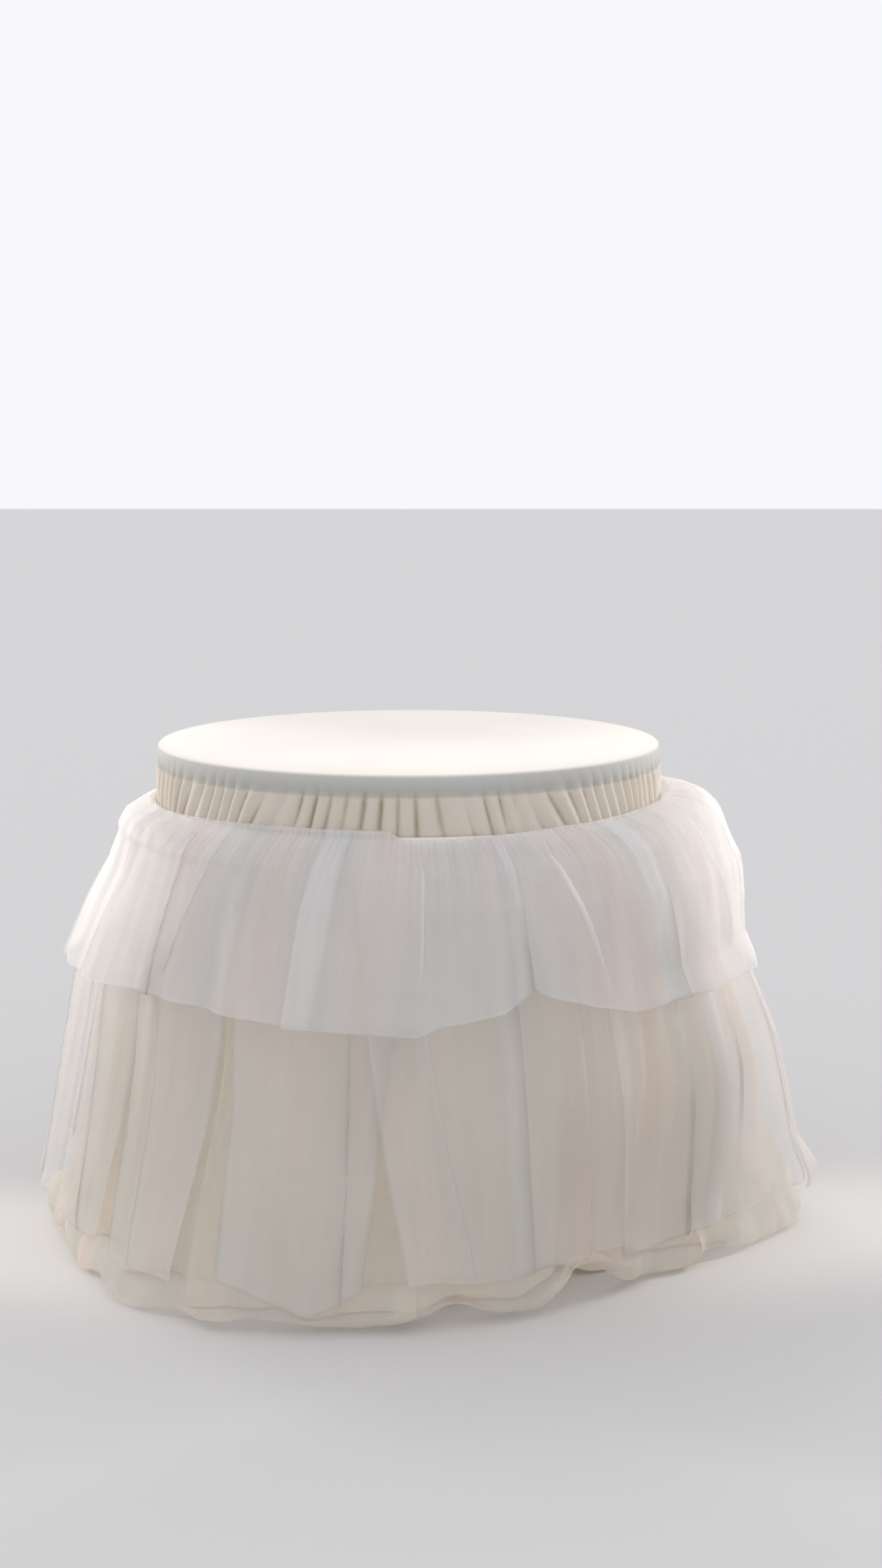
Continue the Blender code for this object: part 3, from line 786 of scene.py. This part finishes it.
# %% Make the upper tier
# Each panel: edges at the waist and at the foot, its hem, its creases, how far it stands out.
UPPER_PANELS = [
    ((-112, -68), (-116, -69), [(0, 0.422), (0.55, 0.425), (1, 0.428)],
     [(0.02, 0.06, 0.006, 0.05, 1.2)], 0.004),
    ((-74, -11), (-76, -14), [(0, 0.426), (0.13, 0.426), (0.45, 0.442), (0.78, 0.431), (1, 0.420)],
     [(-0.03, 0.00, 0.007, 0.02, 1.2), (0.05, 0.015, 0.006, 0.02, 0.9)], 0.0),
    ((-16, 19), (-19, 20.5), [(0, 0.421), (0.21, 0.420), (0.52, 0.415), (0.65, 0.430),
                             (0.87, 0.444), (0.95, 0.462), (1, 0.474)],
     [(0.02, 0.01, 0.006, 0.05, 0.8)], 0.005),
    ((17, 47), (20.5, 52), [(0, 0.474), (0.10, 0.460), (0.33, 0.440), (0.57, 0.425),
                            (0.77, 0.428), (1, 0.426)],
     [(-0.06, 0.00, 0.007, 0.05, 0.95)], 0.002),
    ((43, 101), (46, 101), [(0, 0.432), (0.45, 0.424), (0.8, 0.406), (1, 0.410)],
     [(-0.07, -0.02, 0.006, 0.05, 1.2), (0.06, 0.08, 0.007, 0.1, 1.2)], -0.002),
    ((95, 147), (93, 146), [(0, 0.412), (0.5, 0.428), (1, 0.418)],
     [(0.03, 0.05, 0.006, 0.05, 1.2)], 0.004),
    ((140, 198), (143, 196), [(0, 0.430), (0.4, 0.414), (1, 0.426)],
     [(-0.05, -0.02, 0.007, 0.1, 1.2)], 0.0),
    ((192, 252), (194, 250), [(0, 0.416), (0.6, 0.430), (1, 0.420)],
     [(0.06, 0.03, 0.006, 0.05, 0.9)], 0.004),
]
UPPER_STAND = 0.003         # keeps the whole upper tier off the lower one


def upper_tier():
    panels = sorted(UPPER_PANELS, key=lambda panel: (sum(panel[1]) / 2 + 180) % 360)
    for i, (panel, node) in enumerate(zip(panels, nodes_in_order("upper_tulle"))):
        top, foot, hem, creases, stand = panel
        piece, width, drop = hang_panel(f"upper_panel_{i + 1:02d}", TULLE_UPPER, UPPER_PROFILE,
                                        top, foot, hem, 400 + i, stand + UPPER_STAND,
                                        rows=52, creases=creases)
        dress(piece, node)
    print("upper tier:", len(panels), "panels")


upper_tier()

# %% [markdown]
# ## The table under the cloth
#
# Nothing of it shows until the cloth is lifted, but it still gets real finishes.

# %% Table materials
def speckled(name, light, dark, roughness, metallic, grain_mm, bump_strength):
    made, tree = blank_material(name)
    noise = add_node(tree, "ShaderNodeTexNoise", None, Vector=solid_coordinates(tree, 1000 / grain_mm),
                     Scale=1.0, Detail=4.0, Roughness=0.6)
    colour = ramp(tree, noise.outputs["Fac"], [(0.35, linear(dark)), (0.65, linear(light))])
    bump = add_node(tree, "ShaderNodeBump", None, Height=noise.outputs["Fac"],
                    Strength=bump_strength, Distance=0.0005)
    face = add_node(tree, "ShaderNodeBsdfPrincipled", None, Normal=bump.outputs["Normal"],
                    Roughness=roughness, Metallic=metallic)
    tree.links.new(colour, face.inputs["Base Color"])
    add_node(tree, "ShaderNodeOutputMaterial", None, Surface=face.outputs["BSDF"])
    return made


TABLE_FINISHES = {
    "table_top": speckled("lacquered birch plywood", "#c9a777", "#b18b5a", 0.45, 0.0, 18.0, 0.15),
    "edge_band": speckled("black vinyl edging", "#232323", "#1b1b1b", 0.5, 0.0, 2.0, 0.2),
    "top_plate": speckled("powder coated steel", "#1e1f21", "#161718", 0.5, 0.3, 1.5, 0.5),
    "column": speckled("powder coated steel tube", "#1e1f21", "#161718", 0.5, 0.3, 1.5, 0.5),
    "base_cross": speckled("painted cast iron", "#212122", "#151516", 0.6, 0.2, 3.0, 0.9),
    "plate_screw": speckled("zinc plated steel", "#b9b9b4", "#9c9c98", 0.35, 1.0, 2.0, 0.1),
    "tie": speckled("zinc plated rod", "#b9b9b4", "#9c9c98", 0.35, 1.0, 2.0, 0.1),
    "glide": speckled("grey nylon", "#5a5b5d", "#4b4c4e", 0.5, 0.0, 2.5, 0.2),
}
for name, node in NODES.items():
    for prefix, finish in TABLE_FINISHES.items():
        if name.startswith(prefix):
            node.data.materials.clear()
            node.data.materials.append(finish)

# %% [markdown]
# ## Floor, light and camera
#
# A pale floor and soft light all round, with a faint sun from behind and four soft spots on
# the two sides: the puffs and the bunches of net there glow, while the front stays in soft
# shade. Light has to cross many layers of net, so the renderer is allowed more transparent
# steps than usual.

# %% Stage
FLOOR_HALF = 30.0
FLOOR_LEVEL = -0.0005       # a hair below the glides
PALE_FLOOR = "#d3d2d1"
SUNLIT = "#fff6ea"
LENS_MM, SENSOR_MM = 55.8, 36.0
CAMERA_PLACE = (0.0495, -3.70, 1.242)
LOOKS_DOWN = 8.565          # degrees


def floor():
    mesh = bpy.data.meshes.new("floor")
    signs = ((-1, -1), (1, -1), (1, 1), (-1, 1))
    corners = [(FLOOR_HALF * x, FLOOR_HALF * y, FLOOR_LEVEL) for x, y in signs]
    mesh.from_pydata(corners, [], [(0, 1, 2, 3)])
    made = bpy.data.objects.new("floor", mesh)
    bpy.context.scene.collection.objects.link(made)
    surface, tree = blank_material("pale floor")
    face = add_node(tree, "ShaderNodeBsdfPrincipled", None, Roughness=0.9)
    face.inputs["Base Color"].default_value = linear(PALE_FLOOR)
    add_node(tree, "ShaderNodeOutputMaterial", None, Surface=face.outputs["BSDF"])
    mesh.materials.append(surface)


def soft_sun(towards, strength, spread, colour):
    """A broad, even light from far away: towards is the direction that it comes from."""
    data = bpy.data.lights.new("soft key", "SUN")
    data.energy = strength
    data.angle = math.radians(spread)
    data.color = linear(colour)[:3]
    made = bpy.data.objects.new("soft key", data)
    made.rotation_mode = "QUATERNION"
    made.rotation_quaternion = Vector(towards).to_track_quat("Z", "Y")
    bpy.context.scene.collection.objects.link(made)


def glow_spot(name, place, aim, width, watts):
    """A soft patch of light from behind and above, as sun between leaves gives."""
    data = bpy.data.lights.new(name, "SPOT")
    data.energy = watts
    data.spot_size = math.radians(width)
    data.spot_blend = 1.0
    data.shadow_soft_size = 0.25
    data.color = linear(SUNLIT)[:3]
    made = bpy.data.objects.new(name, data)
    made.location = place
    made.rotation_mode = "QUATERNION"
    made.rotation_quaternion = (Vector(place) - Vector(aim)).to_track_quat("Z", "Y")
    bpy.context.scene.collection.objects.link(made)


def surroundings(strength):
    world = bpy.data.worlds.new("studio")
    bpy.context.scene.world = world
    world.use_nodes = True
    back = world.node_tree.nodes["Background"]
    back.inputs["Color"].default_value = linear("#fbfbff")
    back.inputs["Strength"].default_value = strength


def camera():
    """Standing a few metres back at about eye height, looking slightly down."""
    data = bpy.data.cameras.new("camera")
    data.lens = LENS_MM
    data.sensor_width = SENSOR_MM
    made = bpy.data.objects.new("camera", data)
    made.location = CAMERA_PLACE
    made.rotation_euler = (math.radians(90.0 - LOOKS_DOWN), 0.0, 0.0)
    bpy.context.scene.collection.objects.link(made)
    bpy.context.scene.camera = made


floor()
surroundings(0.97)
soft_sun((-0.40, 0.75, 1.0), 0.25, 14.0, "#fffbf5")
glow_spot("left puff", (-1.9, 0.9, 1.0), (-0.48, 0.02, 0.56), 15.0, 360)
glow_spot("right puff", (1.9, 0.9, 1.0), (0.52, 0.03, 0.58), 15.0, 360)
glow_spot("right bunch", (1.9, 0.5, 1.0), (0.60, -0.06, 0.07), 11.0, 230)
glow_spot("left bunch", (-1.9, 0.3, 1.0), (-0.53, -0.14, 0.05), 11.0, 230)
camera()
bpy.context.scene.view_settings.view_transform = "Standard"
bpy.context.scene.cycles.transparent_max_bounces = 24
